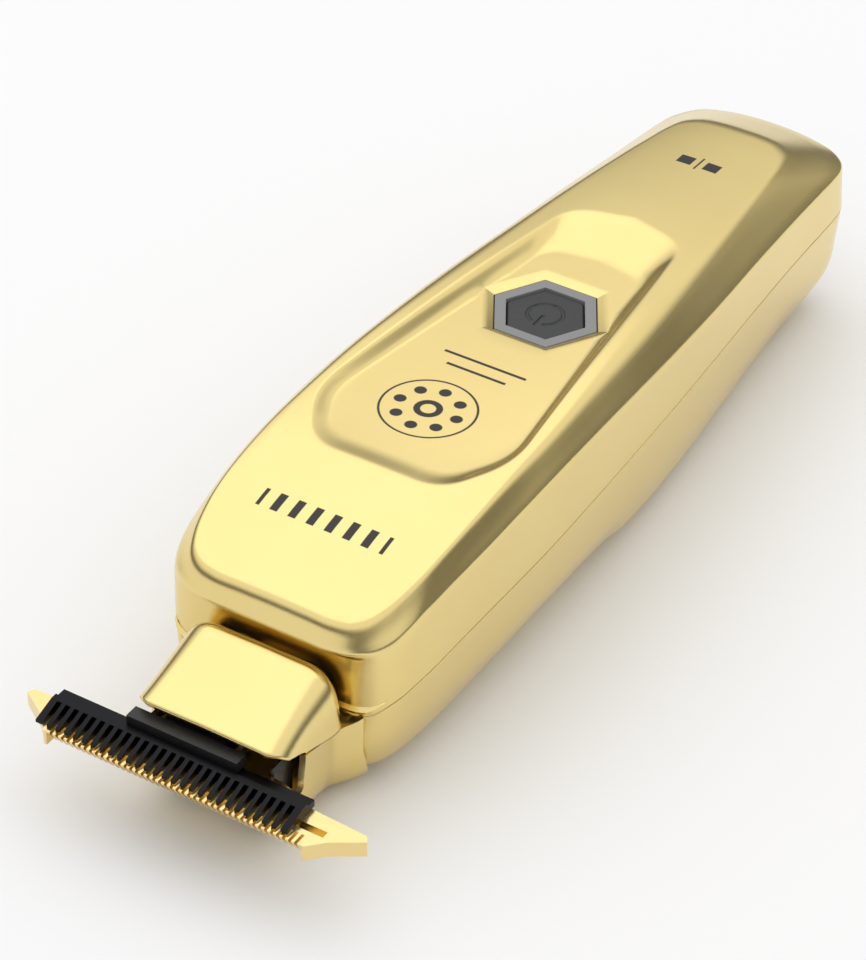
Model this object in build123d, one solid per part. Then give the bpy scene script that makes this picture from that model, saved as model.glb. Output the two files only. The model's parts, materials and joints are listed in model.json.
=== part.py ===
"""Cordless T-blade hair trimmer: metal two-part casing, brushless motor, eccentric drive and comb cutter.

Millimetres. While modelling, y runs from the blade end to the rear and z = 0 is the motor shaft's height;
the last lines move everything so that the origin lies under the middle of the whole trimmer.
"""
from build123d import *
from math import pi, sqrt, cos, sin, radians
import os

# ---- overall sizes -------------------------------------------------------------------------------
rear_y = 157.6            # rear end of the casing
base_z = -13.0            # flat underside of the rear half
front_base_z = -12.0      # underside of the front half
base_step_y = (79.0, 85.0)
wall = 1.6                # casing wall
roof = 3.2                # thicker top wall, so that the panel can be sunk into it
lip_y = 20.8              # foremost edge of the body above the nose

# body cross-sections: y, crease half-width, crease z, shoulder half-width, shoulder z
sections = [
    (10.0, 8.5, 10.4, 14.6, 6.6), (20.0, 12.0, 13.4, 15.8, 10.4), (26.0, 14.2, 15.6, 16.8, 12.3),
    (35.0, 15.9, 17.8, 17.9, 14.4), (45.0, 16.4, 19.2, 18.7, 15.7), (60.0, 16.3, 19.9, 19.0, 16.6),
    (75.0, 15.7, 20.1, 18.9, 16.4), (90.0, 14.8, 19.8, 18.4, 15.6), (105.0, 13.3, 19.2, 17.6, 14.7),
    (122.0, 11.6, 18.4, 16.4, 14.0), (rear_y - 19.6, 9.9, 17.5, 15.2, 12.9), (rear_y - 7.6, 8.6, 16.6, 14.4, 11.8),
    (rear_y + 7.4, 7.0, 15.2, 13.4, 10.4)]
seam = [(-2.0, 0.9), (12.9, 0.5), (21.4, -0.4), (24.0, -0.7), (26.0, 0.6), (28.0, 2.4), (32.0, 4.4), (40.0, 5.0),
        (61.0, 5.6), (90.0, 6.3), (rear_y - 32.6, 5.8), (rear_y - 7.6, 4.8), (rear_y + 12.4, 4.2)]
seam_gap = 0.12           # shadow line between the two casings

# ---- blade set -----------------------------------------------------------------------------------
blade_y = 0.9             # front of the moving blade
blade_z = -0.8            # sliding plane
slide_gap = 0.03
fixed_thick = 2.3
comb_lead = 0.6           # the fixed comb stands this far ahead of the moving one
comb_half = 19.2
fixed_pitch, fixed_slot, fixed_depth = 0.86, 0.42, 1.7
cutter_half = 18.65
cutter_teeth = 28
cutter_slot, cutter_depth = 0.72, 3.3
throw = 2.2               # crank throw, half of the cutter's stroke
pin_r = 0.8
spring_r = 0.45           # wire radius
spring_sweep = 8.4        # half-width that the spring's legs stay within over the whole stroke
spring_reach = spring_sweep - throw  # spring legs, each side of the cutter's middle

# ---- motor ---------------------------------------------------------------------------------------
motor_r = 9.5
motor_y = (26.5, 54.0)
can_wall = 0.8
cap_thick = 1.6
shaft_r = 1.0
run_clear = 0.03
magnet_r = 4.4
air_gap = 0.4
cam_r = 4.3
cam_y = (20.6, 23.8)

# ---- battery, board and switch -------------------------------------------------------------------
cell_r, cell_len = 9.0, 65.0
cell_y = 64.5
cell_z = -1.1
board_z = 9.8
board_thick = 1.2
board_half = 9.2
key_y = 89.4
ring_across = 16.0        # across corners
key_across = 12.4
ring_z = 17.5             # top of the light ring
key_fit = 0.12            # gap round the key
travel = 0.5

# ---- fasteners -----------------------------------------------------------------------------------
case_screw_r = 1.0
case_screws = [(9.4, 59.2), (5.2, rear_y - 14.4)]
blade_screw_x, blade_screw_y, blade_screw_r = 5.4, 10.6, 0.9


def block(x0, x1, y0, y1, z0, z1):
    return Pos((x0 + x1) / 2, (y0 + y1) / 2, (z0 + z1) / 2) * Box(x1 - x0, y1 - y0, z1 - z0)


def rod(r, y0, y1, x=0.0, z=0.0):
    """Round bar along Y."""
    return Pos(x, (y0 + y1) / 2, z) * Rot(90, 0, 0) * Cylinder(r, y1 - y0)


def post(r, x, y, z0, z1):
    """Round bar along Z."""
    return Pos(x, y, (z0 + z1) / 2) * Cylinder(r, z1 - z0)


def bar_x(r, x0, x1, y, z):
    """Round bar along X."""
    return Pos((x0 + x1) / 2, y, z) * Rot(0, 90, 0) * Cylinder(r, x1 - x0)


def side_prism(points, half):
    """Closed (y, z) outline carried half a width to each side."""
    face = Plane.YZ * make_face(Polyline(*points, close=True))
    return extrude(face, amount=half, both=True)


def plan_prism(points, z0, z1):
    """Closed (x, y) outline raised from z0 to z1."""
    return Pos(0, 0, z0) * extrude(make_face(Polyline(*points, close=True)), amount=z1 - z0)


def both_sides(points):
    """Right-hand (x, y) points mirrored into a closed symmetric outline."""
    return points + [(-x, y) for x, y in reversed(points)]


def hexagon(across, z0, z1):
    """Upright hexagonal bar with its corners to the left and right."""
    return Pos(0, key_y, z0) * extrude(RegularPolygon(across / 2, 6), amount=z1 - z0)


def wire(points, r):
    """Lead swept along a smooth path."""
    path = Spline(*points)
    return sweep(Plane(origin=path @ 0, z_dir=path % 0) * Circle(r), path=path)


# ---- casing --------------------------------------------------------------------------------------
def cross_section(y, cw, cz, sw, sz, inset, top):
    """Half outline from crease to underside, mirrored; inset narrows it, top lowers it."""
    mid = 5.4
    half = [(cw - inset * 0.6, cz - top), (sw - inset, sz - top * 0.8), (sw + 0.2 - inset, mid),
            (sw - 0.5 - inset, -3.4), (sw - 3.3 - inset * 0.8, -9.2 + inset * 0.4),
            (sw - 8.7 - inset * 0.7, base_z - 1)]
    points = half + [(-x, z) for x, z in reversed(half)]
    plane = Plane(origin=(0, y, 0), x_dir=(1, 0, 0), z_dir=(0, -1, 0))
    return plane * make_face(Polyline(*points, close=True))


def body_solid(inset, top):
    hull = loft([cross_section(*s, inset, top) for s in sections])
    profile = Polyline((lip_y, 10.0), (22.3, 14.0), (24.5, 19.0), (26.0, 30.0), (rear_y - 11.1, 30.0),
                       (rear_y - 11.1, 17.2), (rear_y - 1.4, 12.2), (rear_y, 7.6), (rear_y, -6.0),
                       (rear_y - 3.2, -11.2), (rear_y - 8.1, base_z),
                       (base_step_y[1], base_z), (base_step_y[0], front_base_z), (29.0, front_base_z),
                       (23.6, -10.4), (21.4, -6.5), (22.2, -1.0), (22.2, 8.6), close=True)
    side = make_face(profile)
    plan = make_face(Curve() + [
        Line((-9.6, lip_y - 0.2), (9.6, lip_y - 0.2)),
        ThreePointArc((9.6, lip_y - 0.2), (15.2, 23.2), (18.4, 30.0)), Line((18.4, 30.0), (21.0, 60.0)),
        Line((21.0, 60.0), (16.3, rear_y - 14.6)),
        ThreePointArc((16.3, rear_y - 14.6), (13.7, rear_y - 5.0), (7.6, rear_y)), Line((7.6, rear_y), (-7.6, rear_y)),
        ThreePointArc((-7.6, rear_y), (-13.7, rear_y - 5.0), (-16.3, rear_y - 14.6)),
        Line((-16.3, rear_y - 14.6), (-21.0, 60.0)), Line((-21.0, 60.0), (-18.4, 30.0)),
        ThreePointArc((-18.4, 30.0), (-15.2, 23.2), (-9.6, lip_y - 0.2))])
    if inset:
        side = offset(side, amount=-inset, kind=Kind.INTERSECTION)
        plan = offset(plan, amount=-inset, kind=Kind.INTERSECTION)
    trimmed = hull & extrude(Plane.YZ * side, amount=30, both=True)
    return trimmed & extrude(Pos(0, 0, -30) * plan, amount=70)


def front_outline(widths):
    """(x, z) outline of the nose, seen from the front."""
    pts = widths + [(-x, z) for x, z in reversed(widths)]
    return extrude(Plane.XZ * make_face(Polyline(*pts, close=True)), amount=60, both=True)


nose_top_front, nose_top_rear = (7.8, 2.4), (19.7, 6.9)
bed_z = blade_z - fixed_thick
shelf_z = bed_z - 2.5
nose_outer = side_prism([nose_top_front, nose_top_rear, (26.0, 7.3), (29.0, 0.0), (29.0, front_base_z),
                         (24.0, -12.0), (8.4, -8.6), (7.2, -7.6), (7.2, shelf_z), (11.0, shelf_z), (11.4, -3.0),
                         (12.9, 0.5)], 12) & front_outline([(8.4, 8.0), (8.9, 4.5), (10.5, -0.5), (10.5, -9.0),
                                                            (8.5, -14.0)])
nose_inner = side_prism([(3.0, -0.2), (nose_top_front[0], 1.45), (20.5, 5.8), (31.0, 6.1), (31.0, -10.4),
                         (20.0, -10.2), (13.2, -7.6), (12.7, shelf_z), (3.0, shelf_z)],
                        12) & front_outline([(7.2, 8.0), (7.9, 3.6), (9.5, -0.6), (9.5, -8.8), (8.2, -14.0)])

shell_inner = body_solid(wall, roof) + nose_inner
shell = (body_solid(0, 0) + nose_outer) - shell_inner

seam_curve = Spline(*seam)
above = Plane.YZ * make_face(Curve() + [seam_curve, Polyline(seam[-1], (seam[-1][0], 40), (seam[0][0], 40), seam[0])])
below = Plane.YZ * make_face(Curve() + [seam_curve, Polyline(seam[-1], (seam[-1][0], -40), (seam[0][0], -40),
                                                             seam[0])])
upper_zone = extrude(above, amount=40, both=True)
lower_zone = Pos(0, 0, -seam_gap) * extrude(below, amount=40, both=True)

upper_casing = shell & upper_zone
panel = plan_prism(both_sides([(0.0, 114.4), (8.8, 112.2), (15.0, 55.5), (9.8, 45.5)]), 10, 30) & side_prism(
    [(40.0, 19.2), (52.0, 18.9), (103.6, 17.6), (113.4, 19.4), (113.4, 30.0), (40.0, 30.0)], 20)
upper_casing -= panel
collar_z = 15.2
ledge_z = 15.6
upper_casing += hexagon(ring_across + 3.2, collar_z, 17.4)
upper_casing -= hexagon(ring_across, ledge_z, 25) + hexagon(key_across + 2.4, 10, 25)
post_split = 2.0          # height where upper posts meet lower towers
post_zone = body_solid(wall * 0.6, roof * 0.6)
board_posts = [(6.6, 70.0), (6.6, 133.0)]
for x, y in case_screws:
    for s in (-1, 1):
        upper_casing += post(2.5, s * x, y, post_split, 40) & post_zone
        upper_casing -= post(case_screw_r, s * x, y, post_split - 1, 9.0)
for x, y in board_posts:
    for s in (-1, 1):
        upper_casing += post(1.9, s * x, y, board_z + board_thick, 40) & post_zone
        upper_casing -= post(0.8, s * x, y, board_z, 14.0)

socket_half, socket_z = 4.5, (6.3, board_z)
slot_z = (socket_z[0] + socket_z[1]) / 2
inlet_rear = rear_y - 0.9
upper_casing -= block(-socket_half - 0.1, socket_half + 0.1, inlet_rear - 6.7, rear_y + 12.4,
                      socket_z[0] - 0.1, socket_z[1] + 0.1)

lower_casing = shell & lower_zone
for x, y in case_screws:
    for s in (-1, 1):
        lower_casing += post(2.7, s * x, y, -40, post_split) & post_zone
        lower_casing -= post(case_screw_r + 0.15, s * x, y, -20, post_split + 1)
        lower_casing -= post(2.1, s * x, y, -20, -8.2)
for s in (-1, 1):
    lower_casing -= post(blade_screw_r + 0.1, s * blade_screw_x, blade_screw_y, -20, shelf_z + 1)
    lower_casing -= post(1.9, s * blade_screw_x, blade_screw_y, -20, -7.2)

# ---- fixed blade, nose frame ---------------------------------------------------------------------
front = blade_y - comb_lead
wing_back = blade_y + 5.0
fixed_blade = plan_prism(both_sides([(comb_half, front), (21.2, 2.4), (25.2, 5.0), (24.6, wing_back), (16.6, 6.3),
                                     (11.2, 8.3), (8.7, 8.5), (8.4, 12.4)]), bed_z, blade_z)
fixed_blade -= side_prism([(front - 1, blade_z - 0.3), (front, blade_z - 0.3), (front + 1.4, bed_z - 0.1),
                           (front - 1, bed_z - 0.1)], comb_half - 0.4)
slots = int(2 * (comb_half - 0.5) / fixed_pitch)
first = -fixed_pitch * (slots - 1) / 2
for i in range(slots):
    x = first + i * fixed_pitch
    fixed_blade -= block(x - fixed_slot / 2, x + fixed_slot / 2, front - 1, front + fixed_depth, -5, 1)
fixed_blade -= block(-20.3, 20.3, blade_y + 1.9, blade_y + 3.0, blade_z - 1.1, 1)
for s in (-1, 1):
    fixed_blade -= post(blade_screw_r, s * blade_screw_x, blade_screw_y, bed_z - 1, blade_z - 0.3)

passage = side_prism([(0, bed_z), (20, bed_z), (20, 1.9), (7.8, 1.2), (0, 1.2)], 9.0)
nose_frame = (block(-12, 12, 8.6, 12.6, shelf_z, 0.2) & nose_inner) - passage
for s in (-1, 1):
    nose_frame -= post(blade_screw_r + 0.1, s * blade_screw_x, blade_screw_y, -9, 0)


def screw(x, y, r, head_r, z0, z1, head_z):
    """Screw standing on its head: head below head_z, shank up to z1."""
    body = post(r, x, y, head_z, z1) + post(head_r, x, y, z0, head_z)
    return body - Pos(x, y, z0) * Box(head_r * 1.3, 0.45, 0.9)


blade_screws = Compound(children=[screw(s * blade_screw_x, blade_screw_y, blade_screw_r, 1.75, -8.3, blade_z - 0.4,
                                        -7.2) for s in (-1, 1)])
casing_screws = Compound(children=[screw(s * x, y, case_screw_r, 1.95, -9.9, 8.0, -8.2)
                                   for x, y in case_screws for s in (-1, 1)])

# ---- cutter: moving blade, carrier, fork, return spring --------------------------------------------
cx = -throw                                  # the cutter rests at one end of its stroke
top = blade_z + slide_gap
moving_blade = Pos(cx, 0, 0) * side_prism(
    [(blade_y, top), (blade_y, top + 0.4), (blade_y + 3.4, top + 1.5), (blade_y + 4.3, top + 1.5),
     (blade_y + 4.7, top + 1.0), (blade_y + 8.0, top + 1.0), (blade_y + 8.0, top)], cutter_half)
tooth_pitch = 2 * cutter_half / cutter_teeth
for i in range(1, cutter_teeth):
    x = cx - cutter_half + i * tooth_pitch
    moving_blade -= block(x - cutter_slot / 2, x + cutter_slot / 2, 0, blade_y + cutter_depth, -5, 3)
peg_r, peg_x, peg_y = 0.7, 3.2, blade_y + 6.6
for s in (-1, 1):
    moving_blade -= post(peg_r, cx + s * peg_x, peg_y, -5, 5)
    moving_blade -= block(cx + s * 13.4 - 7.0, cx + s * 13.4 + 7.0, blade_y + 6.0, 12, -5, 5)

deck = top + 1.0
arm_top = deck + 0.85
tip_y = blade_y + 5.5
tip_z = deck + spring_r
blade_carrier = block(cx - 8.2, cx + 8.2, blade_y + 4.75, 7.7, deck, deck + 1.6)
blade_carrier += block(cx - 4.4, cx + 4.4, 7.7, 15.0, deck, arm_top)
blade_carrier += block(cx - 3.2, cx + 3.2, 13.2, 15.0, -3.2, 3.2)
for s in (-1, 1):
    x = cx + s * spring_reach
    blade_carrier -= rod(spring_r, blade_y + 4.9, 10, x, tip_z)
    blade_carrier -= post(peg_r, cx + s * peg_x, peg_y, -5, deck + 0.6)
carrier_pegs = Compound(children=[post(peg_r, cx + s * peg_x, peg_y, top, deck + 0.6) for s in (-1, 1)])

sine_error = 0.2105 * throw                  # how far the true crank motion departs from an even slide
slot_half = pin_r + sine_error + run_clear
fork_y = (15.0, 19.4)
drive_fork = block(cx - slot_half - 1.5, cx + slot_half + 1.5, *fork_y, -3.2, 3.2)
drive_fork -= block(cx - slot_half, cx + slot_half, fork_y[0] + 0.9, 30, -5, 5)

bend_y, cross_z = 16.9, -3.95
spring_path = FilletPolyline(
    (cx + spring_reach, blade_y + 4.9, tip_z), (cx + spring_reach, bend_y, tip_z), (cx + spring_reach, bend_y, cross_z),
    (cx - spring_reach, bend_y, cross_z), (cx - spring_reach, bend_y, tip_z),
    (cx - spring_reach, blade_y + 4.9, tip_z), radius=1.2)
blade_spring = sweep(Plane(origin=spring_path @ 0, z_dir=spring_path % 0) * Circle(spring_r), path=spring_path)

# ---- rotor ---------------------------------------------------------------------------------------
pin_reach = fork_y[0] + 1.3
crank_pin = rod(pin_r, pin_reach, cam_y[0] + 1.8, cx)
eccentric_cam = rod(cam_r, *cam_y) - rod(pin_r, cam_y[0] - 1, cam_y[0] + 1.8, cx) - rod(shaft_r, cam_y[0] + 1.0, 30)
eccentric_cam -= block(-cam_r, -3.4, cam_y[0] - 1, cam_y[1] + 1, -5, 5)
shaft_rear = motor_y[1] - 0.3
motor_shaft = rod(shaft_r, cam_y[0] + 1.0, shaft_rear)
magnet_y = (motor_y[0] + 6.5, motor_y[1] - 6.5)
rotor_magnet = rod(magnet_r, *magnet_y) - rod(shaft_r, 20, 60)
thrust_washers = (rod(2.0, magnet_y[0] - 0.8, magnet_y[0]) + rod(2.0, magnet_y[1], magnet_y[1] + 0.8)) - rod(
    shaft_r, 20, 60)

# ---- motor ---------------------------------------------------------------------------------------
can_in = motor_r - can_wall
bush_r = 2.6
motor_can = rod(motor_r, motor_y[0] + cap_thick, motor_y[1] - cap_thick) - rod(can_in, 0, 100)
motor_front_cap = rod(motor_r, motor_y[0], motor_y[0] + cap_thick) + rod(4.2, motor_y[0] - 1.2, motor_y[0] + 3.0)
motor_front_cap -= rod(bush_r, 0, 100)
motor_rear_cap = rod(motor_r, motor_y[1] - cap_thick, motor_y[1]) + rod(4.2, motor_y[1] - 3.0, motor_y[1])
motor_rear_cap -= rod(bush_r, 0, motor_y[1] - 0.2)
front_bushing = rod(bush_r, motor_y[0] - 1.2, motor_y[0] + 3.0) - rod(shaft_r + run_clear, 0, 100)
rear_bushing = rod(bush_r, motor_y[1] - 3.0, motor_y[1] - 0.2) - rod(shaft_r + run_clear, 0, 100)
stator_in = magnet_r + air_gap
stator_core = rod(can_in, *magnet_y) - rod(stator_in, 0, 100)
coil_count = 6
coil_mid = (stator_in + can_in) / 2 + 0.1
window = [Rot(0, i * 360 / coil_count, 0) * rod(1.25, magnet_y[0] - 1, magnet_y[1] + 1, coil_mid)
          for i in range(coil_count)]
for w in window:
    stator_core -= w
stator_windings = Compound(children=[
    Rot(0, i * 360 / coil_count, 0) * rod(1.2, magnet_y[0] - 1.5, magnet_y[1] + 1.5, coil_mid)
    for i in range(coil_count)])
motor_board = rod(can_in - 0.3, magnet_y[1] + 1.7, magnet_y[1] + 2.5) - rod(4.4, 0, 100)
mount_y = (motor_y[0] - 1.2, motor_y[0])
motor_mount = (block(-14, 14, *mount_y, -14, 14) & shell_inner) - rod(4.2 + 0.02, 0, 100)
motor_mount -= block(-14, 14, 0, 60, -3.0, -1.4) & block(-14, -12, 0, 60, -9, 9)
mount_holes = [(6.4 * cos(radians(a)), 6.4 * sin(radians(a))) for a in (45, 135, 225, 315)]
motor_screws = []
for x, z in mount_holes:
    hole = rod(0.7, mount_y[0] - 1, motor_y[0] + cap_thick, x, z)
    motor_mount -= hole
    motor_front_cap -= hole
    motor_screws.append(rod(0.7, mount_y[0] - 0.1, motor_y[0] + cap_thick - 0.1, x, z)
                        + rod(1.3, mount_y[0] - 0.9, mount_y[0], x, z))
motor_screws = Compound(children=motor_screws)
motor_sleeve = rod(motor_r + 0.6, 33, 48) - rod(motor_r, 0, 100)

# ---- battery -------------------------------------------------------------------------------------
battery_cell = rod(cell_r, cell_y, cell_y + cell_len, 0, cell_z) + rod(3.0, cell_y - 0.6, cell_y, 0, cell_z)
battery_tabs = block(-3, 3, cell_y - 0.9, cell_y - 0.6, cell_z - 2, cell_z + 9.2)
battery_tabs += block(-3, 3, cell_y + cell_len, cell_y + cell_len + 0.3, cell_z - 2, cell_z + 9.2)
saddles = block(-13, 13, 70, 76, -20, -2.5) + block(-13, 13, 118, 124, -20, -2.5)
saddles += block(-12.6, -9.8, 70, 124, -20, -2.5) + block(9.8, 12.6, 70, 124, -20, -2.5)
battery_cradle = (saddles & shell_inner) - rod(cell_r, 0, 200, 0, cell_z)
battery_cradle -= block(-30, 30, 0, base_step_y[1] + 1, -30, front_base_z + wall + 0.01)
battery_pads = (block(-3.5, 3.5, 84, 96, 5, board_z - 1.0) + block(-3.5, 3.5, 104, 116, 5, board_z - 1.0)) - rod(
    cell_r, 0, 200, 0, cell_z)

# ---- circuit board, switch, key ------------------------------------------------------------------
board_top = board_z + board_thick
circuit_board = block(-board_half, board_half, 64, 138.5, board_z, board_top)
for x, y in board_posts:
    for s in (-1, 1):
        circuit_board -= post(0.9, s * x, y, 0, 30)
board_screws = Compound(children=[post(0.8, s * x, y, board_z - 0.2, 13.6) + post(1.5, s * x, y, board_z - 1.0, board_z)
                                  for x, y in board_posts for s in (-1, 1)])
board_chips = block(-3, 3, 76.5, 82.5, board_top, board_top + 0.9) + block(2.5, 6.5, 99, 103, board_top,
                                                                         board_top + 0.9)
board_chips += block(-7.0, -3.0, 100, 106, board_top, board_top + 1.0)
for i in range(6):
    board_chips += block(-8 + i * 0.001, -6.6, 108 + 2.4 * i, 109 + 2.4 * i, board_top, board_top + 0.5)
board_coil = block(2.5, 8.0, 117, 122.5, board_top, board_top + 2.6)
board_capacitors = Compound(children=[post(1.6, x, 110.5, board_top, board_top + 3.0) for x in (-2.5, 1.6, 5.8)])
switch_top = board_top + 3.0
plunger_r = 1.7
switch_body = block(-3.1, 3.1, key_y - 3.1, key_y + 3.1, board_top, switch_top)
switch_body -= post(plunger_r + 0.1, 0, key_y, board_top + 1.2, 30)
key_bottom = ledge_z - 0.7
switch_plunger = post(plunger_r, 0, key_y, board_top + 1.2 + travel + 0.1, key_bottom - 0.02)
key_top = ring_z - 0.2
power_button = hexagon(key_across - 2 * key_fit, key_bottom, key_top)
power_button += hexagon(key_across + 1.7, key_bottom, ledge_z - 0.05)
power_button -= Pos(0, key_y, key_top) * extrude(
    (Circle(2.5) - Circle(2.0)) - Pos(0, -2.4) * Rectangle(1.9, 2.0), amount=0.3, both=True)
power_button -= Pos(0, key_y - 1.9, key_top) * Box(0.5, 2.4, 0.6)
button_ring = hexagon(ring_across, ledge_z, ring_z) - hexagon(key_across, 10, 20)
status_leds = Compound(children=[block(s * 5.6 - 0.8, s * 5.6 + 0.8, key_y - 0.5, key_y + 0.5, board_top,
                                       board_top + 0.7) for s in (-1, 1)])

# ---- charging inlet ------------------------------------------------------------------------------
inlet_board = block(-6.0, 6.0, inlet_rear - 9.9, inlet_rear - 3.3, board_z, board_top)
shell_in = 0.35
charge_socket = block(-socket_half, socket_half, inlet_rear - 8.2, inlet_rear, *socket_z)
charge_socket -= block(-socket_half + shell_in, socket_half - shell_in, inlet_rear - 7.2, rear_y + 12.4,
                       socket_z[0] + shell_in, socket_z[1] - shell_in)
inlet_tongue = block(-3.2, 3.2, inlet_rear - 7.2, inlet_rear - 1.2, slot_z - 0.35, slot_z + 0.35)
inlet_contacts = []
for i in range(8):
    x = -2.45 + 0.7 * i
    inlet_contacts.append(block(x - 0.15, x + 0.15, inlet_rear - 6.2, inlet_rear - 1.6, slot_z + 0.35, slot_z + 0.45))
inlet_contacts = Compound(children=inlet_contacts)

# ---- leads ---------------------------------------------------------------------------------------
lead_r = 0.5
motor_leads = Compound(children=[
    wire([(x, motor_y[1] + 0.1, 7.2), (x, 57.5, 8.0), (x, 61.0, 11.2), (x, 65.6, board_top + lead_r + 0.05)], lead_r)
    for x in (-3.2, 0.0, 3.2)])
battery_leads = Compound(children=[
    wire([(s * 3.6, y0, 5.4), (s * 3.8, y0 + d * 1.2, 7.6), (s * 4.0, y0 + d * 2.4, board_z - lead_r - 0.1)], lead_r)
    for s, y0, d in ((1, 61.5, 1), (-1, cell_y + cell_len + 6.0, -1))])
inlet_leads = Compound(children=[
    wire([(x, 137.0, board_top + lead_r + 0.05), (x, inlet_rear - 14.7, board_top + 1.6),
          (x, inlet_rear - 9.1, board_top + lead_r + 0.05)],
         lead_r) for x in (-1.2, 1.2)])

nodes = dict(
    upper_casing=upper_casing, lower_casing=lower_casing, nose_frame=nose_frame, fixed_blade=fixed_blade,
    blade_screws=blade_screws, casing_screws=casing_screws, moving_blade=moving_blade, blade_carrier=blade_carrier,
    carrier_pegs=carrier_pegs, drive_fork=drive_fork, blade_spring=blade_spring, crank_pin=crank_pin,
    eccentric_cam=eccentric_cam, motor_shaft=motor_shaft, rotor_magnet=rotor_magnet, thrust_washers=thrust_washers,
    motor_can=motor_can, motor_front_cap=motor_front_cap, motor_rear_cap=motor_rear_cap,
    front_bushing=front_bushing, rear_bushing=rear_bushing, stator_core=stator_core,
    stator_windings=stator_windings, motor_board=motor_board, motor_mount=motor_mount, motor_screws=motor_screws,
    motor_sleeve=motor_sleeve, motor_leads=motor_leads, battery_cell=battery_cell, battery_tabs=battery_tabs,
    battery_cradle=battery_cradle, battery_pads=battery_pads, battery_leads=battery_leads,
    circuit_board=circuit_board, board_screws=board_screws, board_chips=board_chips, board_coil=board_coil,
    board_capacitors=board_capacitors, switch_body=switch_body, switch_plunger=switch_plunger,
    power_button=power_button, button_ring=button_ring, status_leds=status_leds, charge_socket=charge_socket,
    inlet_board=inlet_board, inlet_leads=inlet_leads, inlet_tongue=inlet_tongue, inlet_contacts=inlet_contacts)

os.makedirs("parts", exist_ok=True)
middle = (rear_y + front) / 2
for name, shape in nodes.items():
    export_step(Pos(0, -middle, -base_z) * shape, f"parts/{name}.step")
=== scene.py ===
import json
import math

import bmesh
import bpy
import numpy as np
from mathutils import Matrix, Vector


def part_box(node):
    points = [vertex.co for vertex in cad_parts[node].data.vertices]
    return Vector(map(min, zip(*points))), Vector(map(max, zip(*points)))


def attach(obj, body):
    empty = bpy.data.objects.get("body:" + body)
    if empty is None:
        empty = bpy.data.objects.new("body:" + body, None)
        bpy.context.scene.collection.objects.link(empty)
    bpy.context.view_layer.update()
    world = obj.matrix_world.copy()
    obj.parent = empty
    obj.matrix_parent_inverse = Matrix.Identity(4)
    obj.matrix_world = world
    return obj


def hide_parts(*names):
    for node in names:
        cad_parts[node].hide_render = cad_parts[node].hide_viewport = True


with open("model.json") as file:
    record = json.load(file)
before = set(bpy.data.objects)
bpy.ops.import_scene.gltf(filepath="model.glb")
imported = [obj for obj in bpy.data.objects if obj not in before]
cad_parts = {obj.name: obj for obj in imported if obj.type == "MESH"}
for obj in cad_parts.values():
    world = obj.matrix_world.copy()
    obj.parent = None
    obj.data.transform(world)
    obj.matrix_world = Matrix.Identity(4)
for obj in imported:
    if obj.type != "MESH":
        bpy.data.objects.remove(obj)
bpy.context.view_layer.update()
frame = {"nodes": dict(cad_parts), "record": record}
nodes = frame["nodes"]

# ---- sizes, in mm: y runs from the comb's edge (0) to the rear end, z from the motor shaft ----------
REAR_Y = 157.6
BASE_Z = -13.0
NECK_BASE_Z = -12.0
KEY_Y = 89.4
RING_R = 8.0              # corner radius of the grey ring
KEY_R = 6.08              # corner radius of the power key
RING_Z = 17.5
WALL = 1.0
SEAM_GAP = 0.14
STEP_Y = (79.6, 84.4)     # the underside drops here to the deeper rear half
CASE_SCREWS = [(9.4, 59.2), (5.2, 143.2)]
CASE_WELL_R, CASE_HEAD_Z = 2.1, -8.2      # wells in the underside, up to where the heads bear
BLADE_SCREW_X, BLADE_SCREW_Y = 5.4, 10.6
BLADE_WELL_R, BLADE_HEAD_Z = 1.9, -7.2

casing_low, casing_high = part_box("lower_casing")
SHIFT = np.array([0.0, casing_high.y * 1000 - REAR_Y, casing_low.z * 1000 - BASE_Z])

# plan outlines, right half from the front middle to the rear middle, and heights along y
SHOULDER = [(0, 20.8), (5, 20.8), (9.4, 20.9), (12.6, 21.6), (14.8, 23.0), (16.1, 25.0), (16.9, 27.6), (17.5, 31.4),
            (18.0, 36), (18.6, 43.4), (18.9, 52), (19.0, 60), (18.9, 72), (18.45, 88), (17.6, 105), (16.4, 122),
            (15.3, 138), (14.9, 145), (14.55, 150), (14.1, 153), (13.0, 155.3), (11.0, 156.6), (8, 157.0), (4, 157.1),
            (0, 157.1)]
CREASE = [(0, 21.9), (5, 21.9), (8.6, 22.0), (11.2, 22.7), (13.0, 24.2), (14.2, 26.6), (15.2, 30.6), (15.9, 36),
          (16.3, 44.8), (16.35, 55), (16.2, 64.9), (15.7, 75), (14.8, 90), (13.4, 105), (11.7, 122), (10.0, 136),
          (9.3, 141), (8.2, 144.4), (6.2, 146.0), (3, 146.5), (0, 146.5)]
WALL_TOP = [(0, 22.2), (6, 22.2), (10, 22.3), (12.9, 22.5), (14.6, 23.0), (15.9, 24.1), (16.8, 25.9), (17.4, 28.4),
            (17.9, 32), (18.3, 37), (18.8, 45), (19.1, 53), (19.2, 60), (19.1, 72), (18.6, 90), (17.8, 105),
            (16.6, 122), (15.5, 138), (15.1, 146), (14.9, 150), (14.5, 153.2), (13.4, 155.7), (11.4, 157.1),
            (8, 157.5), (4, 157.55), (0, 157.55)]
WALL_LOW = [(0, 21.5), (6, 21.5), (9.6, 21.6), (12.3, 21.9), (14.1, 22.7), (15.4, 24.2), (16.2, 26.2), (16.8, 29),
            (17.3, 33), (17.7, 38), (18.1, 45), (18.4, 53), (18.5, 60), (18.4, 72), (17.9, 90), (17.1, 105),
            (15.9, 122), (14.8, 138), (14.4, 146), (14.2, 150.3), (13.6, 153.6), (12.4, 155.8), (10.3, 157.0),
            (7, 157.4), (3.5, 157.45), (0, 157.45)]
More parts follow.
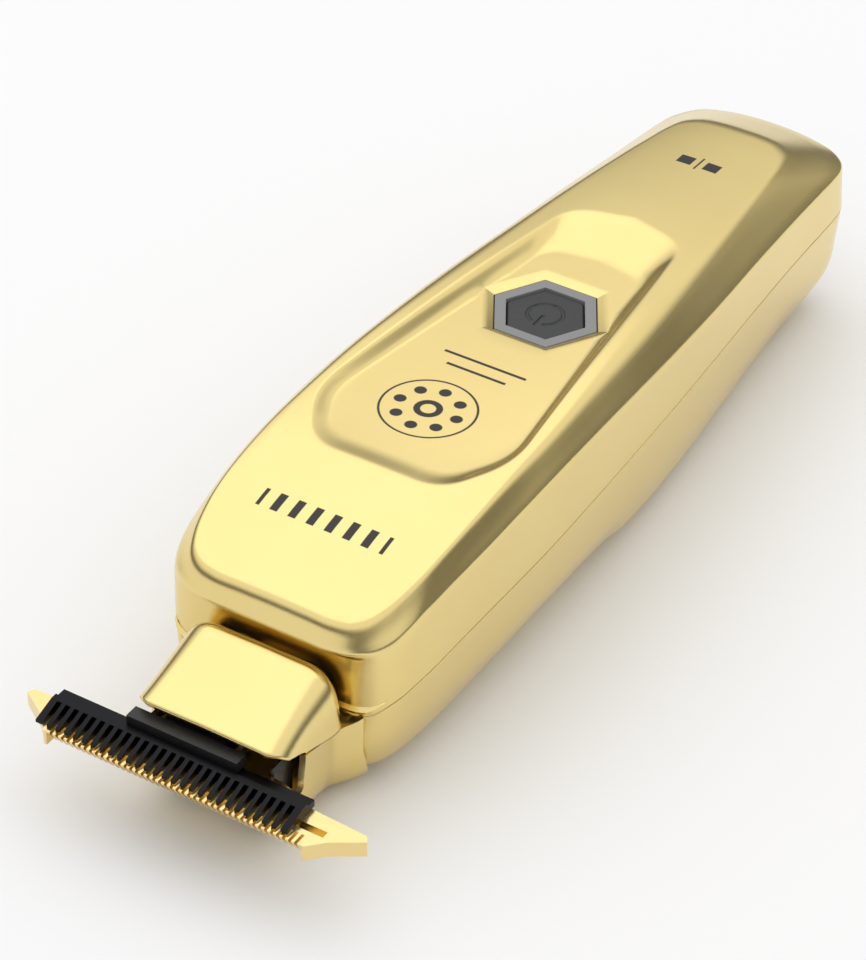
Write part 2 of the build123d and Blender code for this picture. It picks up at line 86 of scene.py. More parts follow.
CORNER = [(0, 22.6), (5, 22.6), (8.5, 22.8), (11.4, 23.6), (13.4, 25.2), (14.6, 27.6), (15.3, 31), (15.8, 36),
          (16.1, 44), (16.3, 54), (16.3, 62), (16.2, 75), (15.8, 90), (15.0, 105), (13.7, 122), (12.4, 138),
          (11.8, 145), (11.0, 150), (9.6, 152.9), (7, 154.1), (3.5, 154.4), (0, 154.4)]
BASE = [(0, 29), (4, 29.1), (7.2, 30.2), (9, 33), (10, 38), (10.9, 46), (11.3, 60), (11.1, 75), (10.6, 90),
        (9.8, 105), (8.6, 122), (7.4, 138), (6.6, 145), (5, 148.4), (2.5, 149.4), (0, 149.5)]
SHOULDER_Z = [(20.8, 10.0), (23, 11.1), (25.3, 12.0), (28.3, 13.0), (31.8, 13.7), (35.4, 14.4), (39.3, 15.0),
              (43.4, 15.5), (50, 16.1), (60, 16.55), (70, 16.5), (80, 16.1), (90, 15.5), (100, 14.95), (110, 14.45),
              (122, 13.95), (130, 13.45), (138, 12.9), (146.6, 12.3), (157.1, 11.4)]
ROOF_Z = [(20, 13.3), (22, 14.0), (26, 15.4), (30, 16.6), (35, 17.8), (40, 18.6), (45, 19.2), (60, 19.9), (75, 20.1),
          (90, 19.8), (105, 19.2), (122, 18.4), (138, 17.5), (147, 17.0)]
ROOF_HALF = [(20, 12), (26, 14.2), (35, 15.9), (45, 16.4), (60, 16.3), (75, 15.7), (90, 14.8), (105, 13.3),
             (122, 11.6), (138, 9.9), (147, 8.8)]
SEAM_Z = [(9, 0.75), (12.9, 0.5), (20.6, -0.3), (22.2, 0.3), (24, 1.9), (26.8, 2.9), (33, 3.9), (40, 4.7), (61, 5.6),
          (90, 6.3), (125, 5.8), (150, 4.8), (160, 4.5)]
CORNER_Z = [(23.6, -10.2), (28, -9.5), (36, -9.0), (78, -9.0), (86, -9.9), (140, -9.9), (154.4, -11.0)]
PANEL = [(0, 45.5), (9.8, 45.5), (15.0, 55.5), (8.9, 112.0), (0, 114.4)]
PANEL_ROUND = [0, 4, 5, 4, 0]
FLOOR = [(0, 48.6), (8.9, 48.6), (13.7, 56.6), (8.1, 103.6), (0, 105.0)]
FLOOR_ROUND = [0, 3, 4, 3.4, 0]
FLOOR_Z = [(45, 19.15), (52, 18.9), (75, 18.35), (103.6, 17.7), (114, 17.5)]


# ---- curves --------------------------------------------------------------------------------------
def through(x, points):
    """Height at x of the smooth curve through the points: a cubic between each pair, with the slopes of the
    parabolas through each point and its neighbours."""
    xs, ys = np.array(points, float).T
    slope = np.gradient(ys, xs, axis=0)
    x = np.clip(np.asarray(x, float), xs[0], xs[-1])
    k = np.clip(np.searchsorted(xs, x) - 1, 0, len(xs) - 2)
    h = xs[k + 1] - xs[k]
    t = (x - xs[k]) / h
    return ((2 * t**3 - 3 * t**2 + 1) * ys[k] + (t**3 - 2 * t**2 + t) * h * slope[k]
            + (3 * t**2 - 2 * t**3) * ys[k + 1] + (t**3 - t**2) * h * slope[k + 1])


def smooth(x, a, b):
    """0 before a, 1 after b, and 3t^2 - 2t^3 between them."""
    t = np.clip((np.asarray(x, float) - a) / (b - a), 0, 1)
    return t * t * (3 - 2 * t)


def mirrored(half):
    """Closed outline from its right half, front middle to rear middle."""
    half = np.array(half, float)
    return np.vstack([half, (half * (-1, 1))[-2:0:-1]])


def spline_outline(half, count=1600):
    """Smooth closed outline through the mirrored half: x and y are each a smooth curve over the distance run."""
    loop = mirrored(half)
    loop = np.vstack([loop[-3:], loop, loop[:4]])
    run = np.concatenate([[0], np.cumsum(np.linalg.norm(np.diff(loop, axis=0), axis=1))])
    s = np.linspace(run[3], run[-4], count, endpoint=False)
    return np.stack([through(s, np.stack([run, loop[:, i]], 1)) for i in (0, 1)], 1)


def rounded_outline(half, radii, rows=24):
    """Closed polygon whose corners are cut back by their radii and joined by parabolas."""
    loop, cut = mirrored(half), np.array(list(radii) + list(radii)[-2:0:-1], float)
    before, after = np.roll(loop, 1, 0) - loop, np.roll(loop, -1, 0) - loop
    a = loop + before / np.linalg.norm(before, axis=1)[:, None] * cut[:, None]
    b = loop + after / np.linalg.norm(after, axis=1)[:, None] * cut[:, None]
    t = np.linspace(0, 1, rows)[None, :, None]
    arcs = (a[:, None] * (1 - t)**2 + 2 * loop[:, None] * t * (1 - t) + b[:, None] * t**2).reshape(-1, 2)
    arcs = np.vstack([arcs, arcs[:1]])
    run = np.concatenate([[0], np.cumsum(np.linalg.norm(np.diff(arcs, axis=0), axis=1) + 1e-9)])
    s = np.linspace(0, run[-1], 3000, endpoint=False)
    return np.stack([np.interp(s, run, arcs[:, i]) for i in (0, 1)], 1)


def radius_of(outline):
    """Distance from the key's centre to the outline, as a function of the angle round it."""
    phi = np.arctan2(outline[:, 1] - KEY_Y, outline[:, 0])
    order = np.argsort(phi)
    phi, r = phi[order], np.hypot(outline[:, 0], outline[:, 1] - KEY_Y)[order]
    return lambda angle: np.interp(angle, phi, r, period=2 * math.pi)


def ray_angles(count):
    """Angles of the rays that the casing's loops are cut by: evenly spaced along the shoulder, and through the
    corners of the hexagonal key."""
    loop = spline_outline(SHOULDER, 4000)
    run = np.concatenate([[0], np.cumsum(np.linalg.norm(np.diff(loop, axis=0), axis=1))])
    at = np.linspace(0, run[-1], count, endpoint=False)
    phi = np.arctan2(np.interp(at, run, loop[:, 1]) - KEY_Y, np.interp(at, run, loop[:, 0]))
    step = np.radians(4)                       # the short sides by the key need closer rays than the long run gives
    near = np.concatenate([np.arange(-0.62, 0.62, step), np.arange(-0.62, 0.62, step) + math.pi])
    near = (near + math.pi) % (2 * math.pi) - math.pi
    corners = np.radians(np.arange(0, 360, 60)) - math.pi
    phi = np.concatenate([phi, near])
    gap = np.abs((phi[:, None] - corners[None] + math.pi) % (2 * math.pi) - math.pi).min(1)
    return np.unique(np.round(np.concatenate([phi[gap > 0.006], corners]), 5))


ANGLES = ray_angles(400)


def loop_at(radius, height):
    """Loop of points, one on each ray: radius away from the key's centre, and as high as height(x, y)."""
    r = radius(ANGLES) if callable(radius) else np.full(len(ANGLES), float(radius))
    x, y = r * np.cos(ANGLES), KEY_Y + r * np.sin(ANGLES)
    return np.stack([x, y, height(x, y) + 0 * x], 1)


def hexagon_radius(corner):
    """Radius of a hexagon with a corner at angle 0: its inner radius over the cosine of the angle from the side."""
    return lambda angle: corner * math.cos(math.pi / 6) / np.cos((angle % (math.pi / 3)) - math.pi / 6)


def skin(keys, height=None):
    """Rows of loops from the first key loop to the last. A key is (loop, rounding, rows on the way to the next): near
    it the straight runs from its neighbours are joined by a parabola that reaches back by the rounding. A key's
    optional fourth item, a height(x, y), replaces z on the straight rows after it. height is not used."""
    rows, count = [], len(keys)
    for i, (loop, cut, along, *top) in enumerate(keys):
        ends = []
        for j in (i - 1, i + 1):
            if 0 <= j < count and cut > 0:
                away = keys[j][0] - loop
                length = np.linalg.norm(away, axis=1)[:, None]
                ends.append(loop + away * np.minimum(cut / np.maximum(length, 1e-6), 0.46))
            else:
                ends.append(loop)
        for t in (np.linspace(0, 1, 6) if cut > 0 and 0 < i < count - 1 else [0.5]):
            rows.append(ends[0] * (1 - t)**2 + 2 * loop * t * (1 - t) + ends[1] * t**2)
        if i + 1 < count:
            after_loop, after_cut = keys[i + 1][0], keys[i + 1][1]
            away = loop - after_loop
            length = np.linalg.norm(away, axis=1)[:, None]
            last = after_loop + away * np.minimum(after_cut / np.maximum(length, 1e-6), 0.46) * (
                after_cut > 0 and i + 2 < count)
            first = rows[-1]
            for t in np.linspace(0, 1, along + 2)[1:-1]:
                row = first * (1 - t) + last * t
                if top:
                    row[:, 2] = top[0](row[:, 0], row[:, 1])
                rows.append(row)
    return np.array(rows)


# ---- meshes --------------------------------------------------------------------------------------
def grid_faces(rows, columns, closed, start=0):
    """Quads that join each point of a grid to its right and upper neighbours; closed joins the last column to the
    first."""
    index = np.arange(rows * columns).reshape(rows, columns) + start
    if closed:
        index = np.hstack([index, index[:, :1]])
    return np.stack([index[:-1, :-1], index[:-1, 1:], index[1:, 1:], index[1:, :-1]], -1).reshape(-1, 4)


def round_prism(r, x, y, low, high):
    """Upright round bar as two matching loops."""
    turn = np.linspace(0, 2 * math.pi, 48, endpoint=False)
    return [np.stack([x + r * np.cos(turn), y + r * np.sin(turn), z + 0 * turn], 1) for z in (low, high)]


def slot_prism(half, low, high, front, rear, corner_r=1.0):
    """Bar along y with a rounded rectangle for its section: quarter circles about four centres."""
    turn = np.linspace(0, math.pi / 2, 8)
    loop = [((half - corner_r) * sx + corner_r * math.cos(t + start), (high if up else low)
             + (-corner_r if up else corner_r) + corner_r * math.sin(t + start))
            for sx, up, start in ((1, 1, 0), (-1, 1, math.pi / 2), (-1, 0, math.pi), (1, 0, 1.5 * math.pi))
            for t in turn]
    return [np.array([(x, y, z) for x, z in loop]) for y in (front, rear)]


def pierce(piece, prisms, sharp):
    """Cuts prisms, each two matching loops in mm, out of the piece and keeps what is left as its mesh."""
    tool = bmesh.new()
    for loops in prisms:
        ends = [[tool.verts.new((point + SHIFT) / 1000) for point in loop] for loop in loops]
        for end in ends:
            tool.faces.new(end)
        for k, point in enumerate(ends[0]):
            tool.faces.new((point, ends[0][k - 1], ends[1][k - 1], ends[1][k]))
    bmesh.ops.recalc_face_normals(tool, faces=tool.faces)
    cutter = bpy.data.objects.new("cutter", bpy.data.meshes.new("cutter"))
    tool.to_mesh(cutter.data)
    tool.free()
    bpy.context.scene.collection.objects.link(cutter)
    cut = piece.modifiers.new("Cut", "BOOLEAN")
    cut.object, cut.operation, cut.solver = cutter, "DIFFERENCE", "EXACT"
    left = bpy.data.meshes.new_from_object(piece.evaluated_get(bpy.context.evaluated_depsgraph_get()))
    piece.modifiers.clear()
    piece.data = left
    left.set_sharp_from_angle(angle=math.radians(sharp))
    bpy.data.objects.remove(cutter)


def mesh_piece(name, grids, material, stands_for=(), wall=0.0, body="housing", sharp=38, caps=(), cuts=()):
    """Object from grids of points in mm, each (points, closed, flipped). wall thickens it inwards, and caps names the
    grids' rows that a point closes: (grid number, row, point)."""
    points, faces, start, spans = [], [], 0, []
    for grid, closed, flipped in grids:
        quads = grid_faces(*grid.shape[:2], closed, start)
        faces += (quads[:, ::-1] if flipped else quads).tolist()
        spans.append((start, grid.shape[1], flipped))
        points.append(grid.reshape(-1, 3))
        start += points[-1].shape[0]
    for number, row, point in caps:
        first, columns, flipped = spans[number]
        ring = first + (row % grids[number][0].shape[0]) * columns + np.arange(columns)
        fan = np.stack([ring, np.roll(ring, -1), np.full(columns, start)], 1)
        outward = (row == 0) == flipped
        faces += (fan if outward else fan[:, ::-1]).tolist()
        points.append(np.array([point], float))
        start += 1
    verts = (np.concatenate(points) + SHIFT) / 1000
    mesh = bpy.data.meshes.new(name)
    mesh.from_pydata(verts.tolist(), [], faces)
    mesh.update()
    mesh.polygons.foreach_set("use_smooth", np.ones(len(mesh.polygons), bool))
    mesh.set_sharp_from_angle(angle=math.radians(sharp))
    piece = bpy.data.objects.new(name, mesh)
    bpy.context.scene.collection.objects.link(piece)
    if wall:
        shell = piece.modifiers.new("Wall", "SOLIDIFY")
        shell.thickness, shell.offset, shell.use_even_offset = wall / 1000, -1, False
        shell.use_quality_normals = True
    mesh.materials.append(material)
    if cuts:
        pierce(piece, cuts, sharp)
    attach(piece, body)
    if stands_for:
        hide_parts(*stands_for)
    return piece


# ---- shader maths --------------------------------------------------------------------------------
class Value:
    """A number in a shader's tree, with Python's arithmetic on it."""

    def __init__(self, shader, socket):
        self.shader, self.socket = shader, socket

    def maths(self, operation, *others, clamp=False):
        node = self.shader.node("Math", dict(operation=operation, use_clamp=clamp), dict(enumerate((self, *others))))
        return Value(self.shader, node.outputs[0])

    def __add__(self, other): return self.maths("ADD", other)
    def __mul__(self, other): return self.maths("MULTIPLY", other)
    def __sub__(self, other): return self.maths("SUBTRACT", other)
    def __truediv__(self, other): return self.maths("DIVIDE", other)
    def __rsub__(self, other): return self.shader.value(other).maths("SUBTRACT", self)
    def __abs__(self): return self.maths("ABSOLUTE")
    __radd__, __rmul__ = __add__, __mul__

    def clamp(self): return self.maths("ADD", 0.0, clamp=True)
    def over(self, level, soft): return ((self - level) / soft + 0.5).clamp()
    def under(self, level, soft): return ((level - self) / soft + 0.5).clamp()


class Shader:
    """A material's tree around one Principled BSDF."""

    def __init__(self, name, **sockets):
        self.material = bpy.data.materials.new(name)
        self.material.use_nodes = True
        self.tree = self.material.node_tree
        self.surface = next(n for n in self.tree.nodes if n.type == "BSDF_PRINCIPLED")
        self.set(**sockets)
        self.place = self.node("TexCoord").outputs["Object"]

    def set(self, **sockets):
        for name, value in sockets.items():
            self.feed(self.surface.inputs[name.replace("_", " ")], value)

    def feed(self, socket, value):
        value = value.socket if isinstance(value, Value) else value
        if isinstance(value, bpy.types.NodeSocket):
            self.tree.links.new(value, socket)
        elif socket.type == "RGBA" and len(value) == 3:
            socket.default_value = (*value, 1)
        else:
            socket.default_value = value

    def node(self, kind, settings=None, inputs=None):
        node = self.tree.nodes.new("ShaderNode" + kind)
        for name, value in (settings or {}).items():
            if name == "stops":
                ramp = node.color_ramp
                while len(ramp.elements) < len(value):
                    ramp.elements.new(0.5)
                for element, (at, colour) in zip(ramp.elements, value):
                    element.position, element.color = at, (*colour, 1)
            else:
                setattr(node, name, value)
        for key, value in (inputs or {}).items():
            self.feed(node.inputs[key], value)
        return node

    def value(self, number):
        return Value(self, number) if isinstance(number, bpy.types.NodeSocket) else Number(self, number)

    def noise(self, scale, detail=2.0, rough=0.5, place=None):
        node = self.node("TexNoise", None, dict(Vector=place or self.place, Scale=scale, Detail=detail,
                                                Roughness=rough))
        return Value(self, node.outputs["Fac"])

    def stretched(self, x, y, z):
        return self.node("Mapping", None, dict(Vector=self.place, Scale=(x, y, z))).outputs["Vector"]

    def mix(self, share, first, second):
        node = self.node("Mix", dict(data_type="RGBA"), {})
        for socket, value in ((node.inputs[0], share), (node.inputs[6], first), (node.inputs[7], second)):
            self.feed(socket, value)
        return node.outputs[2]

    def bump(self, height, distance, strength=1.0):
        node = self.node("Bump", None, dict(Height=height, Distance=distance, Strength=strength))
        self.feed(self.surface.inputs["Normal"], node.outputs["Normal"])

    def coordinates(self):
        split = self.node("SeparateXYZ", None, dict(Vector=self.place))
        x, y, z = (Value(self, s) for s in split.outputs)
        return x * 1000 - SHIFT[0], y * 1000 - SHIFT[1], z * 1000 - SHIFT[2]


class Number(Value):
    """A plain number on the left of an expression."""

    def maths(self, operation, *others, clamp=False):
        node = self.shader.node("Math", dict(operation=operation, use_clamp=clamp),
                                dict(enumerate((self.socket, *others))))
        return Value(self.shader, node.outputs[0])


# ---- materials -----------------------------------------------------------------------------------
def satin_gold(name, colour, deep, rough, grain=1.0, marks=None):
    """Bead-blasted and plated gold: a clouded warm tone, a fine sparkling grain and a faint ripple."""
    s = Shader(name, Metallic=1.0)
    cloud = s.noise(42, 3, 0.55)
    grit = s.noise(5200, 2, 0.6)
    tone = s.mix((cloud * 0.8 + grit * 0.25).clamp(), deep, colour)
    roughness = rough + (grit - 0.5) * 0.10 * grain + (cloud - 0.5) * 0.05
    if marks:
        ink = marks(s)
        tone = s.mix(ink, tone, (0.012, 0.011, 0.01))
        roughness = roughness * (1 - ink) + ink * 0.42
        s.set(Metallic=1 - ink)
    s.set(Base_Color=tone, Roughness=roughness)
    s.bump(grit * grain + s.noise(160, 2) * 2.0, 0.000004)
    return s.material


def casing_marks(s):
    """Plain printed marks: a row of upright bars in front, a ring of dots on the panel, two thin lines behind it, and
    two small squares with a divider near the rear."""
    x, y, z = s.coordinates()

    def box(cx, cy, w, h):
        return (abs(x - cx).under(w / 2, 0.12) * abs(y - cy).under(h / 2, 0.12))

    bar = abs((x / 2.7).maths("FRACT") - 0.5).under(0.21, 0.04)
    ink = bar * abs(x).under(9.45, 0.1) * abs(y - 34.3).under(1.45, 0.12)
    ex, ey = x + 1.0, y - 60.6
    far = (ex * ex + ey * ey).maths("SQRT")
    turn = ey.maths("ARCTAN2", ex) / (math.pi / 4)
    off = (turn - turn.maths("ROUND")) * (math.pi / 4)
    dot_x, dot_y = far * off.maths("COSINE") - 4.3, far * off.maths("SINE")
    dots = (dot_x * dot_x + dot_y * dot_y).maths("SQRT").under(0.85, 0.12)
    ring = abs(far - 6.5).under(0.16, 0.12)
    core = abs(far - 1.5).under(0.45, 0.12)
    ink = ink.maths("MAXIMUM", dots).maths("MAXIMUM", ring).maths("MAXIMUM", core)
    for part in (box(0, 71.0, 9.0, 0.5), box(0, 73.4, 12.5, 0.5), box(-2.1, 133.7, 2.3, 2.3),
                 box(2.1, 133.7, 2.3, 2.3), box(0, 133.7, 0.3, 3.6)):
        ink = ink.maths("MAXIMUM", part)
    return ink * z.over(12, 0.5)


def plain_metal(name, colour, rough, stretch=(1, 1, 1), strength=1.0):
    """Turned or ground metal: fine scratches along one way and a clouded shine."""
    s = Shader(name, Metallic=1.0)
    scratch = s.noise(900, 4, 0.65, s.stretched(*stretch))
    cloud = s.noise(60, 2)
    s.set(Base_Color=s.mix((cloud * 0.6 + scratch * 0.4).clamp(), tuple(c * 0.72 for c in colour), colour),
          Roughness=(rough + (scratch - 0.5) * 0.16 + (cloud - 0.5) * 0.08).clamp())
    s.bump(scratch, 0.00001, strength)
    return s.material


def moulded_plastic(name, colour, rough, grain=700.0, depth=0.00002):
    """Moulded plastic: a fine spark-eroded texture and slight shine changes."""
    s = Shader(name)
    fine, cloud = s.noise(grain, 3, 0.6), s.noise(35, 2)
    s.set(Base_Color=s.mix(cloud, tuple(c * 0.8 for c in colour), colour),
          Roughness=(rough + (fine - 0.5) * 0.15 + (cloud - 0.5) * 0.08).clamp())
    s.bump(fine, depth)
    return s.material


def winding(name, colour):
    """Wound enamelled wire: fine bands across the coil."""
    s = Shader(name, Metallic=1.0)
    x, y, z = s.coordinates()
    bands = (y * 22.0).maths("SINE")
    s.set(Base_Color=s.mix(bands.over(0, 1.2), tuple(c * 0.45 for c in colour), colour), Roughness=0.3)
    s.bump(bands, 0.00004)
    return s.material


def board(name, colour):
    """Solder mask over copper tracks: faint straight tracks, broken into lengths."""
    s = Shader(name, Roughness=0.35)
    x, y, z = s.coordinates()
    track = abs((x / 1.3).maths("FRACT") - 0.5).under(0.12, 0.05) * s.noise(130, 0).over(0.5, 0.02)
    s.set(Base_Color=s.mix(track, colour, tuple(c * 1.9 for c in colour)), Coat_Weight=0.4)
    s.bump(track, 0.00003)
    return s.material


def striped_foil(name, colour, second):
    """Shrink wrap: even colour with a paler band at one end."""
    s = Shader(name, Roughness=0.32)
    x, y, z = s.coordinates()
    s.set(Base_Color=s.mix((y.over(122, 0.3) * (1 - y.over(124, 0.3))), colour, second))
    s.bump(s.noise(260, 2), 0.00005)
    return s.material


GOLD = (0.86, 0.70, 0.31)
finishes = {
    "gold_casing": satin_gold("casing gold", GOLD, (0.79, 0.61, 0.24), 0.22),
    "gold_blade": satin_gold("blade gold", (0.90, 0.72, 0.34), (0.80, 0.60, 0.26), 0.22),
    "black_blade": plain_metal("blade black", (0.022, 0.022, 0.024), 0.34, (1, 8, 8)),
    "black_plastic": moulded_plastic("black plastic", (0.012, 0.012, 0.013), 0.38),
    "button_black": moulded_plastic("key black", (0.032, 0.033, 0.035), 0.46, 1800, 0.00001),
    "ring_grey": moulded_plastic("ring grey", (0.27, 0.27, 0.275), 0.42, 1500, 0.00001),
    "white_nylon": moulded_plastic("white nylon", (0.78, 0.77, 0.72), 0.45),
    "spring_steel": plain_metal("spring steel", (0.72, 0.72, 0.74), 0.2),
    "steel": plain_metal("ground steel", (0.6, 0.6, 0.62), 0.24, (1, 8, 1)),
    "screw_steel": plain_metal("screw steel", (0.5, 0.5, 0.52), 0.3),
    "brass": plain_metal("sintered brass", (0.72, 0.53, 0.24), 0.38),
    "magnet_nickel": plain_metal("magnet nickel", (0.62, 0.60, 0.56), 0.25),
    "lamination": plain_metal("stacked sheets", (0.3, 0.3, 0.32), 0.45, (1, 9, 1)),
    "copper_coil": winding("copper wire", (0.75, 0.33, 0.14)),
    "motor_zinc": plain_metal("zinc plate", (0.58, 0.6, 0.62), 0.3),
    "board_green": board("board green", (0.02, 0.13, 0.05)),
    "component_black": moulded_plastic("component black", (0.02, 0.02, 0.022), 0.4),
    "capacitor_silver": plain_metal("capacitor silver", (0.66, 0.67, 0.7), 0.28),
    "led_white": moulded_plastic("lamp white", (0.86, 0.85, 0.74), 0.25),
    "cell_wrap": striped_foil("cell wrap", (0.05, 0.22, 0.33), (0.75, 0.76, 0.74)),
    "nickel_tab": plain_metal("nickel strip", (0.64, 0.62, 0.58), 0.26),
    "grey_foam": moulded_plastic("grey foam", (0.12, 0.12, 0.125), 0.85, 300, 0.0002),
    "sleeve_rubber": moulded_plastic("sleeve rubber", (0.03, 0.03, 0.032), 0.7, 400, 0.00004),
    "lead_red": moulded_plastic("lead red", (0.45, 0.03, 0.025), 0.38),
    "inlet_steel": plain_metal("inlet steel", (0.6, 0.6, 0.6), 0.22),
    "contact_gold": plain_metal("contact gold", (0.85, 0.62, 0.25), 0.2),
}
slot_names = [m["slot"] for m in frame["record"]["materials"]]
for node in nodes.values():
    for place in node.material_slots:
        for slot_name in slot_names:
            if place.material and slot_name in place.material.name:
                place.material = finishes[slot_name]
                break

top_gold = satin_gold("casing gold with marks", GOLD, (0.79, 0.61, 0.24), 0.22, marks=casing_marks)


# ---- upper and lower casing ----------------------------------------------------------------------
def roof(x, y):
    """Height of the top: its line along y, crowned by 0.35 mm as a parabola across."""
    half = through(y, ROOF_HALF)
    return through(y, ROOF_Z) + 0.35 * (1 - np.clip(np.abs(x) / half, 0, 1)**2)


def seam(x, y):
    """Height of the line where the two casing halves meet."""
    return through(y, SEAM_Z)


def shoulder_z(x, y):
    """Height of the shoulder: its line along y, raised as a parabola across at the rear end."""
    return through(y, SHOULDER_Z) + 1.9 * smooth(y, 148, 156) * np.clip(1 - (x / 13.5)**2, 0, 1)


def floor(x, y):
    """Height of the sunk panel: its line along y, never above the top."""
    return np.minimum(through(y, FLOOR_Z), roof(x, y) - 0.12)


shoulder, crease, wall_top = (radius_of(spline_outline(o)) for o in (SHOULDER, CREASE, WALL_TOP))
wall_low, corner, base = (radius_of(spline_outline(o)) for o in (WALL_LOW, CORNER, BASE))


def under_shoulder(angle):
    """Just below the shoulder: drawn back to the wall at the front, and close under the edge elsewhere."""
    y = KEY_Y + shoulder(angle) * np.sin(angle)
    share = 0.13 + 0.87 * (1 - smooth(y, 21.5, 34))
    return shoulder(angle) * (1 - share) + wall_top(angle) * share


def well(corner_r, z):
    """Level hexagonal loop round the key."""
    return loop_at(hexagon_radius(corner_r), lambda x, y: z + 0 * x)


upper_rows = skin([
    (loop_at(lambda a: wall_top(a) - 0.7, seam), 0, 0),
    (loop_at(wall_top, seam), 0.18, 5),
    (loop_at(under_shoulder, lambda x, y: shoulder_z(x, y) - 1.4), 0.5, 1),
    (loop_at(shoulder, shoulder_z), 0.55, 3),
    (loop_at(crease, roof), 1.5, 5, roof),
    (loop_at(radius_of(rounded_outline(PANEL, PANEL_ROUND)), roof), 0.7, 2),
    (loop_at(radius_of(rounded_outline(FLOOR, FLOOR_ROUND)), floor), 1.0, 12, floor),
    (loop_at(hexagon_radius(RING_R + 1.55), floor), 0.55, 2),
    (well(RING_R + 0.12, RING_Z - 0.05), 0.12, 2),
    (well(RING_R + 0.05, RING_Z - 1.5), 0, 0),
])
mesh_piece("upper_shell", [(upper_rows, True, False)], top_gold, ["upper_casing"], WALL,
           cuts=[slot_prism(4.6, 6.2, 9.9, 152.0, 162.0)])


def corner_z(x, y):
    """Height of the lower corner along y."""
    return through(y, CORNER_Z)


def base_z(x, y):
    """Underside: flat in front, and 1 mm lower behind the step."""
    return NECK_BASE_Z + (BASE_Z - NECK_BASE_Z) * smooth(y, *STEP_Y)


def low_wall_z(x, y):
    """Height where the wall starts to turn under: lower at both ends."""
    return -3.4 - 2.6 * smooth(y, 140, 157) - 1.2 * (1 - smooth(y, 22, 32))


def outset(radius, amount):
    """The outline, moved out by amount behind the step."""
    return lambda angle: radius(angle) + amount * smooth(KEY_Y + radius(angle) * np.sin(angle), *STEP_Y)


lower_rows = skin([
    (loop_at(lambda a: wall_top(a) - 0.7, lambda x, y: seam(x, y) - SEAM_GAP), 0, 0),
    (loop_at(wall_top, lambda x, y: seam(x, y) - SEAM_GAP), 0.18, 3),
    (loop_at(wall_low, low_wall_z), 2.6, 3),
    (loop_at(outset(corner, 0.5), corner_z), 2.2, 3),
    (loop_at(outset(base, 0.4), base_z), 2.2, 26, base_z),
    (loop_at(0.6, base_z), 0, 0),
])
mesh_piece("lower_shell", [(lower_rows, True, True)], finishes["gold_casing"], ["lower_casing"], WALL,
           caps=[(0, -1, (0, KEY_Y, BASE_Z))],
           cuts=[round_prism(CASE_WELL_R, side * x, y, -16.0, -9.0) for x, y in CASE_SCREWS for side in (-1, 1)])


# ---- nose ----------------------------------------------------------------------------------------
def nose_section(u, y):
    """Half outline of the nose's top at y, from u = 0 in the middle to 1 at the seam: flat, a rounded shoulder, then a
    side that leans out to the seam."""
    lift = np.clip((y - 7.8) / (19.5 - 7.8), 0, 1.05)
    cx, cz = 9.35 + 0.7 * lift, 2.55 + 4.45 * lift
    sx, sz = 10.5 + 0.5 * smooth(y, 13, 20), seam(0, y)
    side = np.hypot(sx - cx, sz - cz)
    flat_cut, side_cut = 1.4 + 2.1 * lift, 1.4 + 3.2 * lift
    a = np.stack([cx - flat_cut, cz + 0 * cx], -1)
    b = np.stack([cx + (sx - cx) * side_cut / side, cz + (sz - cz) * side_cut / side], -1)
    c, s = np.stack([cx, cz], -1), np.stack([sx + 0 * cx, sz + 0 * cx], -1)
    t = np.clip((u - 0.6) / 0.2, 0, 1)[..., None]
    flat = np.clip(u / 0.6, 0, 1)[..., None]
    down = np.clip((u - 0.8) / 0.2, 0, 1)[..., None]
    arc = a * (1 - t)**2 + 2 * c * t * (1 - t) + b * t**2
    mid = np.stack([0 * cx, cz + 0.12], -1)
    point = np.where(u[..., None] < 0.6, mid * (1 - flat) + a * flat, arc)
    return np.where(u[..., None] > 0.8, b * (1 - down) + s * down, point)


def nose_top_grid():
    """Rows run back from the raked front edge to the rear ridge, then over its rounding and down into the gap
    before the casing's front wall."""
    u = np.concatenate([np.linspace(0, 0.6, 12)[:-1], np.linspace(0.6, 0.8, 12)[:-1], np.linspace(0.8, 1, 10)])
    u = np.concatenate([-u[:0:-1], u])
    front = 7.8 + 5.1 * smooth(np.abs(u), 0.62, 1.0)**1.3
    rear = 19.5
    v = np.linspace(0, 1, 28)[:, None]
    y = front * (1 - v) + rear * v
    flat = nose_section(np.abs(u)[None] + 0 * y, y)
    rows = np.stack([flat[..., 0] * np.sign(u), y, flat[..., 1]], -1)
    end, centre = rows[-1], np.array([0, rear, 1.5])
    over = []
    for turn in np.linspace(0, math.pi / 2, 8)[1:]:
        inward = 0.8 * (1 - math.cos(turn))
        row = end + (centre - end) / np.linalg.norm(centre - end, axis=1)[:, None] * inward
        row[:, 1] = rear + 0.8 * math.sin(turn)
        over.append(row)
    down = over[-1] + (centre - over[-1]) / np.linalg.norm(centre - over[-1], axis=1)[:, None] * 2.0
    down[:, 1] = rear + 0.85
    return np.concatenate([rows, over, [down]])


mesh_piece("nose_cover", [(nose_top_grid(), False, True)], finishes["gold_casing"], ["upper_casing"],
           0.9)


